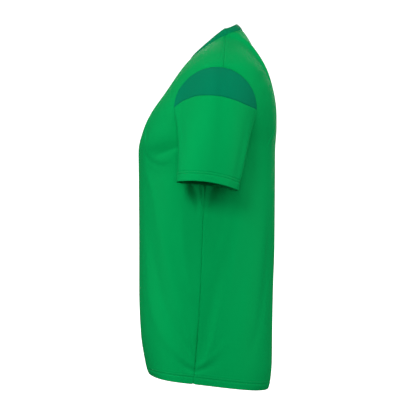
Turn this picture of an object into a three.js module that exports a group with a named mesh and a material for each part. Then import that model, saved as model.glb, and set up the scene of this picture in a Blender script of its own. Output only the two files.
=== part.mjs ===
// A short-sleeved football jersey, filled out as it is when worn, with nobody in it.
// Millimetres, +Z up, the front towards -Y and the wearer's left towards +X. The origin is the middle
// of the neck opening, level with the neck ends of the shoulder seams, where the wearer holds it up.
import * as THREE from "three";

// Cloth and making-up sizes.
const WALL = 1.5; // thickness of the knitted cloth
const HEM_WALL = 2.4; // where the cloth is turned up and stitched down
const BAND_WALL = 2.4; // doubled rib of the neckband
const SEAM_GAP = 0.3; // between two pieces at a seam
const SHARPEST = 0.45; // keeps the wall from reaching far where two pieces meet at a sharp corner
const BODY_HEM = 20; // depth of the turned-up hem
const SLEEVE_HEM = 20;
const HEM_EDGE = 1.5; // over which the wall steps up to the hem's thickness

// Columns and rows of the cloth grids.
const NECK_COLUMNS = 7; // from the centre line to the neck end of a shoulder seam
const SHOULDER_COLUMNS = 10; // from there to the shoulder tip
const BODY_ROWS = 16; // above the hem, up to the underarm
const ROW_ARC = 165; // how much of a half turn spaces the chest rows beside the armhole
const CHEST_ROWS = 15; // along the armhole
const CAP_ROWS = 4;
const SLEEVE_ROWS = 9;
const BAND_ROWS = 2;

// Level sections of the body, from the neck down to below the hem: where the cloth lies at the centre
// front and centre back (y), its half width (side), the y of its widest line, which is the shoulder seam
// and then the side seam (ridge), and how square the section is (2 is an ellipse).
const SECTIONS = [
  { z: 24, front: -3, back: 26, side: 62, ridge: 2, square: 2.0 },
  { z: 0, front: -18, back: 45, side: 85, ridge: 0, square: 2.0 },
  { z: -22, front: -45.5, back: 55.8, side: 134, ridge: -1, square: 2.0 },
  { z: -44, front: -72.4, back: 70, side: 178, ridge: -3, square: 2.05 },
  { z: -74, front: -95.5, back: 86, side: 213, ridge: -6, square: 2.2 },
  { z: -109, front: -119, back: 97.4, side: 219, ridge: -14, square: 2.35 },
  { z: -148, front: -147, back: 103, side: 215, ridge: -23, square: 2.4 },
  { z: -180, front: -162.5, back: 103.4, side: 206, ridge: -30, square: 2.4 },
  { z: -222, front: -172.6, back: 100.4, side: 193.5, ridge: -38, square: 2.4 },
  { z: -290, front: -171.8, back: 99.6, side: 183.5, ridge: -41, square: 2.45 },
  { z: -415, front: -171.2, back: 98.5, side: 184, ridge: -45.3, square: 2.5 },
  { z: -500, front: -171, back: 95.6, side: 187, ridge: -49, square: 2.55 },
  { z: -583, front: -167.6, back: 94, side: 190, ridge: -54, square: 2.6 },
  { z: -640, front: -158.8, back: 93.4, side: 191, ridge: -59, square: 2.6 },
  { z: -700, front: -146, back: 88, side: 188, ridge: -65, square: 2.6 },
];

// The hem drops towards the back, a little faster the further back it is.
const HEM = { zAtOrigin: -675.1, slope: -0.148, bend: -0.00028 };

// The armhole seam, an oval as seen from the side, whose bottom leans forward to the side seam.
const ARMHOLE = { y: -20, z: -148, halfDepth: 78.5, halfHeight: 76, lean: 16 };

// The sleeve's hem ring. It is saddle-shaped: lowest at the back, highest at the front.
const CUFF = {
  x: 241.5,
  y: -35.4,
  z: -292.8,
  halfWidth: 50.5,
  halfDepth: 57,
  drop: 7.7, // from front to back
  tilt: 2.4, // from the outside to the underarm
  saddle: 2.6,
};

// Which way the sleeve leaves the armhole seam and reaches its hem, for a chord of 1, at its top, at its
// front and back, and under the arm, where it stands off the body before it turns down.
const SLEEVE_LEAVES = [
  { turn: 0, x: 0.86, forward: 0, z: -0.55 },
  { turn: 90, x: 0.68, forward: -0.24, z: -0.74 },
  { turn: 180, x: 0.62, forward: 0, z: -0.3 },
];
const SLEEVE_ARRIVES = { x: 0.04, xSwing: 0.05, y: -0.16, ySwing: 0.1, z: -1 };

// Height of the seam between the shoulder cap and the sleeve, across the sleeve from front to back.
const CAP_SEAM = [
  { y: -100, z: -147 },
  { y: -78, z: -133.5 },
  { y: -50, z: -127.5 },
  { y: -14, z: -130 },
  { y: 16, z: -137 },
  { y: 38, z: -144.5 },
  { y: 60, z: -151 },
];
const CAP_POINT = 0.8; // height left at the two points of the cap
const CAP_REACH = 98; // how far the cap goes round the armhole, in degrees either way from its top
const CAP_LONGEST = 0.6; // the share of the sleeve's length that it never passes

// The neckline seam: a V at the front and a round rise at the back.
const NECK = {
  halfWidth: 85,
  vDepth: 44,
  vForward: 73,
  vRound: 1.1, // 1 gives the V straight arms
  vDip: 1.4, // above 1 the arms drop more and more steeply
  backRise: 16.5,
  backDepth: 36,
  backFlat: 0.8, // below 1 the back stays high for longer
};
// Where the band's free edge lies at the shoulder, centre front and centre back.
const BAND = {
  shoulder: { x: 76, y: -1, z: 14.8 },
  front: { y: -59.5, z: -25.5, bend: 1.15 }, // bend is how late it comes to that height
  back: { y: 25, z: 30.5, bend: 1.7 },
  lean: 4, // how much nearer the neck's middle the edge lies halfway
  crown: 1.2, // how far the band bows outwards
};
const BAND_STEP = 0.5; // along x, for the band's normal

// How the chest's rows and columns run.
const SHOULDER_TOP = 1; // a height just above the neck ends of the shoulder seams
const SEAM_BEND = 3; // the rows bend to the armhole, the more sharply the higher this is
const TOP_BEND = 2; // and to the neck and shoulder
const EVEN_UP_TO = 0.4; // the columns go over to the shoulder's spacing by this share of the chest
const NECK_EASE = 0.55; // and lean in to the neckline above this one
const SEAM_STILL = 12; // folds die away at the armhole, closer to it the higher this is

// Folds of the body cloth. A fold runs from one place to another, each given as the angle round the body
// (0 centre front, 90 the wearer's left side seam, 180 centre back) and the height. A negative depth is a
// trough. Both sides of the body have them, the right side in its own sizes.
const BODY_FOLDS = [
  { fromTurn: 63, fromZ: -205, toTurn: 22, toZ: -238, width: 17, depth: -3.6, right: 0.8 },
  { fromTurn: 66, fromZ: -234, toTurn: 28, toZ: -256, width: 14, depth: 2.2, right: 0.6 },
  { fromTurn: 57, fromZ: -160, toTurn: 66, toZ: -222, width: 16, depth: -3.4, right: 1.1 },
  { fromTurn: 26, fromZ: -262, toTurn: 58, toZ: -430, width: 15, depth: 2.0, right: 0.7 },
  { fromTurn: 36, fromZ: -330, toTurn: 74, toZ: -560, width: 22, depth: -2.6, right: 1.2 },
  { fromTurn: 56, fromZ: -430, toTurn: 84, toZ: -640, width: 18, depth: 2.8, right: 0.8 },
  { fromTurn: 76, fromZ: -330, toTurn: 81, toZ: -520, width: 14, depth: -1.6, right: 1.3 },
  { fromTurn: 98, fromZ: -300, toTurn: 92, toZ: -540, width: 15, depth: 3.0, right: 0.8 },
  { fromTurn: 105, fromZ: -320, toTurn: 95, toZ: -610, width: 16, depth: -3.4, right: 1.1 },
  { fromTurn: 112, fromZ: -350, toTurn: 94, toZ: -655, width: 17, depth: 3.0, right: 0.9 },
  { fromTurn: 124, fromZ: -380, toTurn: 99, toZ: -650, width: 20, depth: -2.8, right: 1.0 },
  { fromTurn: 118, fromZ: -180, toTurn: 128, toZ: -330, width: 24, depth: -2.6, right: 1.1 },
  { fromTurn: 140, fromZ: -300, toTurn: 132, toZ: -560, width: 26, depth: 1.8, right: 0.8 },
];
const MM_PER_DEGREE = 2.9; // round the body
const FOLD_TRIM = 0.06; // of a fold's swell, left off at either end

// Folds of a sleeve: places are the angle round it (0 outside, 90 front, 180 underarm) and the share of
// its length.
const SLEEVE_FOLDS = [
  { fromTurn: -66, fromT: 0.35, toTurn: -58, toT: 1.15, width: 9, depth: -1.6 },
  { fromTurn: -82, fromT: 0.3, toTurn: -78, toT: 1.1, width: 10, depth: 1.4 },
  { fromTurn: 74, fromT: 0.2, toTurn: 62, toT: 0.85, width: 11, depth: -1.5 },
  { fromTurn: 128, fromT: 0.1, toTurn: 112, toT: 0.8, width: 12, depth: -2.4 },
  { fromTurn: -140, fromT: 0.1, toTurn: -120, toT: 0.8, width: 12, depth: -2.4 },
];
const SLEEVE_MM_PER_DEGREE = 0.95;
const SLEEVE_LENGTH = 225;
const SLEEVE_STILL = 0.25; // folds grow from nothing at the armhole to their full depth here

const CLOTH = { color: 0x009e52, roughness: 0.62, metalness: 0 };
const CONTRAST = { color: 0x00794f, roughness: 0.66, metalness: 0 };

const radians = THREE.MathUtils.degToRad;
const lerp = THREE.MathUtils.lerp;
const sine = (degrees) => Math.sin(radians(degrees));
const cosine = (degrees) => Math.cos(radians(degrees));
const vector = (x, y, z) => new THREE.Vector3(x, y, z);
const HALVINGS = 50;
const NORMAL_STEP = 2e-3;
const wrapped = (angle) => ((((angle + 180) % 360) + 360) % 360) - 180;

// The place between low and high where rise(place), which grows, passes zero.
function solve(rise, low, high) {
  for (let step = 0; step < HALVINGS; step++) {
    const middle = (low + high) / 2;
    if (rise(middle) > 0) high = middle;
    else low = middle;
  }
  return (low + high) / 2;
}

// A smooth curve through a table's rows that doesn't overshoot them: the value of key at place at.
function smooth(table, along, key, at) {
  const rows = table[0][along] < table.at(-1)[along] ? table : [...table].reverse();
  const last = rows.length - 1;
  const slopeAfter = (i) => (rows[i + 1][key] - rows[i][key]) / (rows[i + 1][along] - rows[i][along]);
  const tangent = (i) => {
    if (i === 0) return slopeAfter(0);
    if (i === last) return slopeAfter(last - 1);
    const [before, after] = [slopeAfter(i - 1), slopeAfter(i)];
    return before * after <= 0 ? 0 : (2 * before * after) / (before + after);
  };
  const x = Math.min(Math.max(at, rows[0][along]), rows[last][along]);
  let i = 0;
  while (i < last - 1 && x > rows[i + 1][along]) i++;
  const span = rows[i + 1][along] - rows[i][along];
  const s = (x - rows[i][along]) / span;
  const [s2, s3] = [s * s, s * s * s];
  return (
    (2 * s3 - 3 * s2 + 1) * rows[i][key] +
    (s3 - 2 * s2 + s) * span * tangent(i) +
    (3 * s2 - 2 * s3) * rows[i + 1][key] +
    (s3 - s2) * span * tangent(i + 1)
  );
}

const SECTION_KEYS = ["front", "back", "side", "ridge", "square"];
const section = (z) =>
  Object.fromEntries(SECTION_KEYS.map((key) => [key, smooth(SECTIONS, "z", key, z)]));

// The depth of one half of a section: facing is -1 for the front half and 1 for the back half.
const halfDepth = (s, facing) => (facing < 0 ? s.ridge - s.front : s.back - s.ridge);

// A point of the body at height z and half-width x.
function bodyAtX(facing, x, z) {
  const s = section(z);
  const share = Math.min(Math.abs(x) / s.side, 1);
  return vector(x, s.ridge + facing * halfDepth(s, facing) * (1 - share ** s.square) ** (1 / s.square), z);
}

// A point of the body's left side at height z and depth y.
function bodyAtY(y, z) {
  const s = section(z);
  const share = Math.min(Math.abs(y - s.ridge) / halfDepth(s, y < s.ridge ? -1 : 1), 1);
  return vector(s.side * (1 - share ** s.square) ** (1 / s.square), y, z);
}

// The armhole seam at an angle: 0 is its top, 90 its front and 180 its bottom.
function armholePoint(angle) {
  const y = ARMHOLE.y - ARMHOLE.halfDepth * sine(angle) - ARMHOLE.lean * Math.min(cosine(angle), 0) ** 2;
  return bodyAtY(y, ARMHOLE.z + ARMHOLE.halfHeight * cosine(angle));
}
const behindRidge = (angle) => {
  const p = armholePoint(angle);
  return p.y - section(p.z).ridge;
};
const TIP_ANGLE = solve((angle) => -behindRidge(angle), -60, 30); // where the shoulder seam ends
const UNDERARM_ANGLE = solve(behindRidge, 110, 200); // where the side seam ends
const TIP = armholePoint(TIP_ANGLE);
const UNDERARM = armholePoint(UNDERARM_ANGLE);

// The armhole's angle at a share of the way up the chest, for the front or the back panel.
const armholeAngle = (facing, v) => lerp(facing < 0 ? UNDERARM_ANGLE : UNDERARM_ANGLE - 360, TIP_ANGLE, v);

// The neckline seam at half-width x. spread is 0 at the shoulder and 1 at the centre line.
function necklinePoint(facing, x) {
  const across = Math.min(Math.abs(x) / NECK.halfWidth, 1);
  if (facing < 0) {
    const spread = (1 - across) ** (1 / NECK.vRound);
    return vector(x, -NECK.vForward * spread, -NECK.vDepth * spread ** NECK.vDip);
  }
  const spread = Math.sqrt(1 - across * across);
  return vector(x, NECK.backDepth * spread, NECK.backRise * spread ** NECK.backFlat);
}

// The free edge of the neckband, above that seam.
function bandEdgePoint(facing, x) {
  const across = x / NECK.halfWidth;
  const middle = facing < 0 ? BAND.front : BAND.back;
  const spread = necklinePoint(facing, x).y / (facing < 0 ? -NECK.vForward : NECK.backDepth);
  return vector(
    BAND.shoulder.x * across - BAND.lean * Math.sin(Math.PI * across),
    lerp(BAND.shoulder.y, middle.y, spread),
    lerp(BAND.shoulder.z, middle.z, spread ** middle.bend),
  );
}

const hemHeight = (y) => HEM.zAtOrigin + HEM.slope * y + HEM.bend * y * y;

// The place between 0 and 1 along a fold that is nearest to a point, and the distance to it.
function besideFold(x, y, fromX, fromY, toX, toY) {
  const [dx, dy] = [toX - fromX, toY - fromY];
  const along = ((x - fromX) * dx + (y - fromY) * dy) / (dx * dx + dy * dy);
  const held = Math.min(Math.max(along, 0), 1);
  return { along: held, distance: Math.hypot(x - fromX - held * dx, y - fromY - held * dy) };
}

// A fold swells and dies away along its length.
const foldHeight = (fold, near) => {
  const swell = Math.sin(Math.PI * lerp(FOLD_TRIM, 1 - FOLD_TRIM, near.along));
  return fold.depth * swell * Math.exp(-((near.distance / fold.width) ** 2));
};

function bodyFolds(turn, z) {
  const around = Math.abs(turn) * MM_PER_DEGREE;
  let height = 0;
  for (const fold of BODY_FOLDS) {
    const near = besideFold(
      around,
      z,
      fold.fromTurn * MM_PER_DEGREE,
      fold.fromZ,
      fold.toTurn * MM_PER_DEGREE,
      fold.toZ,
    );
    height += foldHeight(fold, near) * (turn < 0 ? fold.right : 1);
  }
  return height;
}

function sleeveFolds(angle, t) {
  const turn = wrapped(angle);
  let height = 0;
  for (const fold of SLEEVE_FOLDS) {
    const near = besideFold(
      turn * SLEEVE_MM_PER_DEGREE,
      t * SLEEVE_LENGTH,
      fold.fromTurn * SLEEVE_MM_PER_DEGREE,
      fold.fromT * SLEEVE_LENGTH,
      fold.toTurn * SLEEVE_MM_PER_DEGREE,
      fold.toT * SLEEVE_LENGTH,
    );
    height += foldHeight(fold, near);
  }
  return height * THREE.MathUtils.smoothstep(t, 0, SLEEVE_STILL);
}

// The outward normal of a surface given as a function of two shares.
function normalOf(surface, u, v, low, high) {
  const along = (du, dv) => {
    const ahead = surface(Math.min(u + du, high), Math.min(v + dv, 1));
    return ahead.sub(surface(Math.max(u - du, low), Math.max(v - dv, 0)));
  };
  return along(NORMAL_STEP, 0).cross(along(0, NORMAL_STEP)).normalize();
}

// A front or back panel. u runs from -1 at the right edge to 1 at the left. Below the underarm v is the
// share of the height from the hem, and above it the share of the way along the armhole.
const NECK_SHARE = NECK.halfWidth / TIP.x;

function lowerPoint(facing, u, v) {
  const turn = 90 * u;
  const across = (z) => section(z).side * Math.sign(u) * Math.abs(sine(turn)) ** (2 / section(z).square);
  const atHem = bodyAtX(facing, across(HEM.zAtOrigin), HEM.zAtOrigin);
  const z = lerp(hemHeight(atHem.y), UNDERARM.z, v);
  const s = section(z);
  return vector(across(z), s.ridge + facing * halfDepth(s, facing) * cosine(turn) ** (2 / s.square), z);
}

function chestPoint(facing, u, v) {
  const share = Math.abs(u);
  const seam = armholePoint(armholeAngle(facing, v));
  const topX = share * TIP.x;
  const onNeck = share < NECK_SHARE;
  const top = onNeck
    ? necklinePoint(facing, topX)
    : vector(topX, 0, solve((z) => topX - section(z).side, TIP.z, SHOULDER_TOP));
  // Rows are even at the centre, meet the armhole at its samples, and bend up to the neck and shoulder.
  const arc = (1 - cosine(ROW_ARC * v)) / (1 - cosine(ROW_ARC));
  const rise = lerp(v, arc, share ** SEAM_BEND);
  const level = (climb) => lerp(UNDERARM.z, TIP.z, climb);
  const toTop = (top.z - TIP.z) * rise ** TOP_BEND;
  const z = level(rise) + toTop + (seam.z - level(arc)) * share ** SEAM_BEND;
  const even = Math.abs(sine(90 * u)) ** (2 / section(UNDERARM.z).square);
  const x = seam.x * lerp(even, share, THREE.MathUtils.smoothstep(v, 0, EVEN_UP_TO));
  const p = bodyAtX(facing, x, z);
  if (onNeck) {
    const miss = top.clone().sub(bodyAtX(facing, topX, top.z));
    p.add(miss.multiplyScalar(THREE.MathUtils.smoothstep(v, NECK_EASE, 1)));
  }
  if (share === 1) p.copy(seam);
  p.x *= Math.sign(u) || 1;
  return p;
}

// The angle round the body of a point of a panel, for its folds.
function turnOf(facing, p) {
  const s = section(p.z);
  const share = Math.min(Math.abs(p.x) / s.side, 1) ** (s.square / 2);
  const turn = THREE.MathUtils.radToDeg(Math.asin(share));
  return (Math.sign(p.x) || 1) * (facing < 0 ? turn : 180 - turn);
}

// A sleeve, before its folds. t is 0 at the armhole and 1 at the hem.
function sleevePoint(angle, t) {
  const from = armholePoint(angle);
  const to = vector(
    CUFF.x + CUFF.halfWidth * cosine(angle),
    CUFF.y - CUFF.halfDepth * sine(angle),
    CUFF.z + CUFF.drop * sine(angle) + CUFF.tilt * cosine(angle) + CUFF.saddle * cosine(2 * angle),
  );
  const length = from.distanceTo(to);
  const turn = Math.abs(wrapped(angle));
  const leave = vector(
    smooth(SLEEVE_LEAVES, "turn", "x", turn),
    -Math.sign(wrapped(angle)) * smooth(SLEEVE_LEAVES, "turn", "forward", turn),
    smooth(SLEEVE_LEAVES, "turn", "z", turn),
  ).multiplyScalar(length);
  const arrive = vector(
    SLEEVE_ARRIVES.x + SLEEVE_ARRIVES.xSwing * cosine(angle),
    SLEEVE_ARRIVES.y + SLEEVE_ARRIVES.ySwing * sine(angle),
    SLEEVE_ARRIVES.z,
  ).multiplyScalar(length);
  const [t2, t3] = [t * t, t * t * t];
  return vector(0, 0, 0)
    .addScaledVector(from, 2 * t3 - 3 * t2 + 1)
    .addScaledVector(leave, t3 - 2 * t2 + t)
    .addScaledVector(to, 3 * t2 - 2 * t3)
    .addScaledVector(arrive, t3 - t2);
}

// Where the seam between cap and sleeve crosses the line of a sleeve at an angle, as a share of its length.
function capSeamShare(angle) {
  const below = (t) => {
    const p = sleevePoint(angle, t);
    return smooth(CAP_SEAM, "y", "z", p.y) - p.z;
  };
  const least = CAP_POINT / armholePoint(angle).distanceTo(sleevePoint(angle, 1));
  return Math.max(solve(below, 0, CAP_LONGEST), least);
}

const sleeveNormal = (angle, t) => normalOf((u, v) => sleevePoint(angle + u * 90, v), 0, t, -1, 1);

// The outward normal of a panel: below the underarm, or of its chest part.
function panelNormal(facing, u, v, chest) {
  const surface = chest ? chestPoint : lowerPoint;
  return normalOf((a, b) => surface(facing, a, b), u, v, -1, 1).multiplyScalar(-facing);
}

// The outward normal of the neckband: across its height and its run. Where its front and back halves meet,
// at the shoulder, it is halfway between theirs.
function bandNormal(facing, x) {
  const atShoulder = Math.abs(x) > NECK.halfWidth - BAND_STEP;
  if (atShoulder) {
    const inward = Math.sign(x) * (NECK.halfWidth - 2 * BAND_STEP);
    return bandNormal(-1, inward).add(bandNormal(1, inward)).normalize();
  }
  const low = Math.max(Math.abs(x) - BAND_STEP, 0);
  const high = Math.abs(x) + BAND_STEP;
  const run = necklinePoint(facing, high).sub(necklinePoint(facing, low));
  const up = bandEdgePoint(facing, Math.abs(x)).sub(necklinePoint(facing, Math.abs(x)));
  const normal = run.cross(up).multiplyScalar(-facing);
  normal.x *= Math.sign(x);
  return normal.normalize();
}

// The normals of all the pieces that meet at a point of a panel.
function normalsMeeting(facing, u, v, chest) {
  const share = Math.abs(u);
  const top = chest && v === 1;
  const normals = [panelNormal(facing, u, v, chest)];
  if ((top && share >= NECK_SHARE) || (share === 1 && !chest)) {
    normals.push(panelNormal(-facing, u, v, chest));
  }
  if (top && share <= NECK_SHARE) normals.push(bandNormal(facing, u * TIP.x));
  if (share === 1 && (chest || v === 1)) {
    const sleeve = sleeveNormal(armholeAngle(facing, chest ? v : 0), 0);
    sleeve.x *= Math.sign(u);
    normals.push(sleeve);
  }
  return normals;
}

// The vector from the outside of a wall to its inside. Pieces that meet share its direction, so that they
// end on the plane that halves the corner between them.
function wallDepth(normals, thickness) {
  const middle = normals.reduce((sum, normal) => sum.add(normal), vector(0, 0, 0)).normalize();
  const share = normals.reduce((sum, normal) => sum + middle.dot(normal), 0) / normals.length;
  return middle.multiplyScalar(-thickness / Math.max(share, SHARPEST));
}

// Moves the points along one edge of a grid back from the seam, square to it, towards the next points in.
function pullBack(points, edge, inner) {
  const along = points[edge].map((p) => p.clone());
  points[edge].forEach((p, j) => {
    const [before, after] = [along[Math.max(j - 1, 0)], along[Math.min(j + 1, along.length - 1)]];
    const tangent = after.clone().sub(before).normalize();
    const inward = points[inner][j].clone().sub(along[j]);
    p.addScaledVector(inward.addScaledVector(tangent, -inward.dot(tangent)).normalize(), SEAM_GAP / 2);
  });
}

// Turns rows into columns, so that pullBack can work on either pair of edges.
const turned = (grid) => grid[0].map((_, j) => grid.map((row) => row[j]));

// A closed cloth wall from a grid of points of its outside and the vectors from there to its inside. A
// tube's last column meets its first.
function clothWall({ points, depths }, tube) {
  const rows = points.length;
  const columns = points[0].length;
  const outside = points.flat();
  const inside = outside.map((p, k) => p.clone().add(depths.flat()[k]));
  const at = (i, j) => i * columns + (tube ? j % columns : j);
  const under = outside.length;
  const corners = [...outside, ...inside];
  const faces = [];
  const quad = (a, b, c, d) => faces.push(a, b, c, a, c, d);
  // An edge face gets a point in its middle, so that the two pieces at a seam bend their edges alike.
  const edge = (a, b, c, d) => {
    const middle = corners.length;
    corners.push([a, b, c, d].reduce((sum, k) => sum.add(corners[k]), vector(0, 0, 0)).divideScalar(4));
    faces.push(a, b, middle, b, c, middle, c, d, middle, d, a, middle);
  };
  const spans = tube ? columns : columns - 1;
  for (let i = 0; i < rows - 1; i++) {
    for (let j = 0; j < spans; j++) {
      const [a, b, c, d] = [at(i, j), at(i, j + 1), at(i + 1, j + 1), at(i + 1, j)];
      quad(a, b, c, d);
      quad(under + a, under + d, under + c, under + b);
    }
  }
  for (let j = 0; j < spans; j++) {
    const [a, b, c, d] = [at(0, j), at(0, j + 1), at(rows - 1, j), at(rows - 1, j + 1)];
    edge(a, under + a, under + b, b);
    edge(c, d, under + d, under + c);
  }
  for (let i = 0; i < rows - 1 && !tube; i++) {
    const [a, b, c, d] = [at(i, 0), at(i + 1, 0), at(i, spans), at(i + 1, spans)];
    edge(a, b, under + b, under + a);
    edge(c, under + c, under + d, d);
  }
  const geometry = new THREE.BufferGeometry().setFromPoints(corners);
  geometry.setIndex(faces);
  geometry.computeVertexNormals();
  return geometry;
}

// Turns a grid over where its columns run the other way round, so that it faces outwards.
function facedOut({ points, depths }, over) {
  const order = (grid) => (over ? grid.map((row) => [...row].reverse()) : grid);
  return { points: order(points), depths: order(depths) };
}

const range = (count, from, to) => Array.from({ length: count + 1 }, (_, i) => lerp(from, to, i / count));

const HALF_COLUMNS = [
  ...range(NECK_COLUMNS, 0, NECK_SHARE),
  ...range(SHOULDER_COLUMNS, NECK_SHARE, 1).slice(1),
];
const COLUMNS = [...HALF_COLUMNS.slice(1).reverse().map((u) => -u), ...HALF_COLUMNS];

// The rows of a panel: the turned-up hem, the body up to the underarm, and the chest along the armhole.
function panelRows() {
  const height = UNDERARM.z - HEM.zAtOrigin;
  const hem = BODY_HEM / height;
  return [
    { v: 0, wall: HEM_WALL },
    { v: hem, wall: HEM_WALL },
    ...range(BODY_ROWS, hem + HEM_EDGE / height, 1).map((v) => ({ v, wall: WALL })),
    ...range(CHEST_ROWS, 0, 1).slice(1).map((v) => ({ v, wall: WALL, chest: true })),
  ];
}

function panel(facing) {
  const points = [];
  const depths = [];
  for (const { v, wall, chest = false } of panelRows()) {
    const besideArmhole = chest || v === 1;
    const normals = COLUMNS.map((u) => normalsMeeting(facing, u, v, chest));
    depths.push(normals.map((list) => wallDepth(list, wall)));
    points.push(COLUMNS.map((u, j) => {
      const p = chest ? chestPoint(facing, u, v) : lowerPoint(facing, u, v);
      const freedom = besideArmhole ? 1 - Math.abs(u) ** SEAM_STILL : 1;
      const lift = bodyFolds(turnOf(facing, p), p.z) * freedom;
      return p.addScaledVector(depths.at(-1)[j].clone().normalize(), -lift);
    }));
  }
  pullBack(points, points.length - 1, points.length - 2);
  const columns = turned(points);
  pullBack(columns, 0, 1);
  pullBack(columns, columns.length - 1, columns.length - 2);
  return clothWall(facedOut({ points: turned(columns), depths }, facing > 0), false);
}

// The sleeve's columns start where the two panels' rows end along the armhole, from the underarm round the
// front to the top and down the back.
const besideChest = (facing) => (v) => ({ angle: armholeAngle(facing, v), facing, v, chest: true });
const SLEEVE_COLUMNS = [
  { angle: UNDERARM_ANGLE, facing: -1, v: 1, chest: false },
  ...range(CHEST_ROWS, 0, 1).slice(1).map(besideChest(-1)),
  ...range(CHEST_ROWS, 1, 0).slice(1, -1).map(besideChest(1)),
];
const isUnderCap = ({ angle }) => Math.abs(angle) < CAP_REACH;

// A grid over part of a sleeve: each column goes from its start to its end, as shares of the sleeve.
function sleeveGrid(columns, rowShares, mirror, wallAt) {
  const points = [];
  const depths = [];
  for (const row of rowShares) {
    const places = columns.map(({ start, end }) => lerp(start, end, row));
    const rowDepths = columns.map(({ angle, facing, v, chest }, j) => {
      const t = places[j];
      const normals = t === 0 ? normalsMeeting(facing, 1, v, chest) : [sleeveNormal(angle, t)];
      return wallDepth(normals, wallAt(t));
    });
    const rowPoints = columns.map(({ angle }, j) => {
      const outward = rowDepths[j].clone().normalize().negate();
      return sleevePoint(angle, places[j]).addScaledVector(outward, sleeveFolds(angle, places[j]));
    });
    [...rowPoints, ...rowDepths].forEach((p) => { p.x *= mirror; });
    points.push(rowPoints);
    depths.push(rowDepths);
  }
  return { points, depths };
}

function sleeve(mirror) {
  const hem = 1 - SLEEVE_HEM / SLEEVE_LENGTH;
  const columns = SLEEVE_COLUMNS.map((column) =>
    ({ ...column, start: isUnderCap(column) ? capSeamShare(column.angle) : 0, end: 1 }));
  const rows = [...range(SLEEVE_ROWS, 0, hem - HEM_EDGE / SLEEVE_LENGTH), hem, 1];
  const grid = sleeveGrid(columns, rows, mirror, (t) => (t >= hem ? HEM_WALL : WALL));
  pullBack(grid.points, 0, 1);
  return clothWall(facedOut(grid, mirror > 0), true);
}

function shoulderCap(mirror) {
  const columns = SLEEVE_COLUMNS.filter(isUnderCap).map((column) =>
    ({ ...column, start: 0, end: capSeamShare(column.angle) }));
  const grid = sleeveGrid(columns, range(CAP_ROWS, 0, 1), mirror, () => WALL);
  pullBack(grid.points, 0, 1);
  pullBack(grid.points, CAP_ROWS, CAP_ROWS - 1);
  return clothWall(facedOut(grid, mirror > 0), false);
}

// The neckband is one ring: round the front from right to left, then back round the nape.
function neckband() {
  const onNeck = COLUMNS.filter((u) => Math.abs(u) <= NECK_SHARE);
  const columns = [
    ...onNeck.map((u) => ({ facing: -1, u })),
    ...onNeck.slice(1, -1).reverse().map((u) => ({ facing: 1, u })),
  ];
  const points = [];
  const depths = [];
  for (const v of range(BAND_ROWS, 0, 1)) {
    points.push(columns.map(({ facing, u }) => {
      const x = u * TIP.x;
      const p = necklinePoint(facing, x).lerp(bandEdgePoint(facing, x), v);
      return p.addScaledVector(bandNormal(facing, x), BAND.crown * Math.sin(Math.PI * v));
    }));
    depths.push(columns.map(({ facing, u }) => {
      const normals = v === 0 ? normalsMeeting(facing, u, 1, true) : [bandNormal(facing, u * TIP.x)];
      return wallDepth(normals, BAND_WALL);
    }));
  }
  pullBack(points, 0, 1);
  return clothWall({ points, depths }, true);
}

function piece(name, geometry, finish) {
  const mesh = new THREE.Mesh(geometry, new THREE.MeshStandardMaterial(finish));
  mesh.name = name;
  return mesh;
}

const jersey = new THREE.Group();
jersey.add(piece("front_panel", panel(-1), CLOTH));
jersey.add(piece("back_panel", panel(1), CLOTH));
for (const [side, mirror] of [["left", 1], ["right", -1]]) {
  jersey.add(piece(`sleeve_${side}`, sleeve(mirror), CLOTH));
  jersey.add(piece(`shoulder_cap_${side}`, shoulderCap(mirror), CONTRAST));
}
jersey.add(piece("neckband", neckband(), CONTRAST));

export default jersey;
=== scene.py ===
# The looks of a short-sleeved football jersey, filled out as it is when worn, with nobody in it.
# The cloth is worked out in millimetres, as numpy grids of points, and goes into its meshes in metres.
# +Z is up, the front faces -Y and the wearer's left is towards +X.
import math

import bmesh
import bpy
import numpy as np
from mathutils import Matrix, Vector


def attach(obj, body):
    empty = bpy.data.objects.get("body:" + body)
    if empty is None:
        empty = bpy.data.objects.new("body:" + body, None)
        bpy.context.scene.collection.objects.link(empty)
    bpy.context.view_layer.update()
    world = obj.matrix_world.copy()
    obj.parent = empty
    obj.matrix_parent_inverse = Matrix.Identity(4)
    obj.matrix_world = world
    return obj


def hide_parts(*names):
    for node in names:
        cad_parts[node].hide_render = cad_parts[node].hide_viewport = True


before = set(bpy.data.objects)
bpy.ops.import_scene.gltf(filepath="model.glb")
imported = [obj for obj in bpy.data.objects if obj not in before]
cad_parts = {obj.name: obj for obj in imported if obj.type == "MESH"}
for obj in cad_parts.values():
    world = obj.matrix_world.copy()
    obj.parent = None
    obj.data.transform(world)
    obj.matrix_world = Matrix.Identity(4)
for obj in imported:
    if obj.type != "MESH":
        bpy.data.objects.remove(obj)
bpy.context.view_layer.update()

MM = 0.001

# Cloth and making-up sizes, in millimetres.
CLOTH = 0.8  # thickness of the knitted cloth
HEM_TURN = 0.95  # radius of the fold at a hem's edge
BODY_HEM = 18
SLEEVE_HEM = 18.5
HEM_ROW = 1.25  # rows of cloth this far apart in a hem
HEM_ROWS = 19  # rows from the edge up to just past the hem's stitching
SEAM_DIP = 0.5  # how far the cloth sinks at a seam
SEAM_WIDTH = 1.6
SEAM_GAP = 0.04
SEAM_TURN = 2.5  # over which cloth comes to face the way that the seam does
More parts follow.
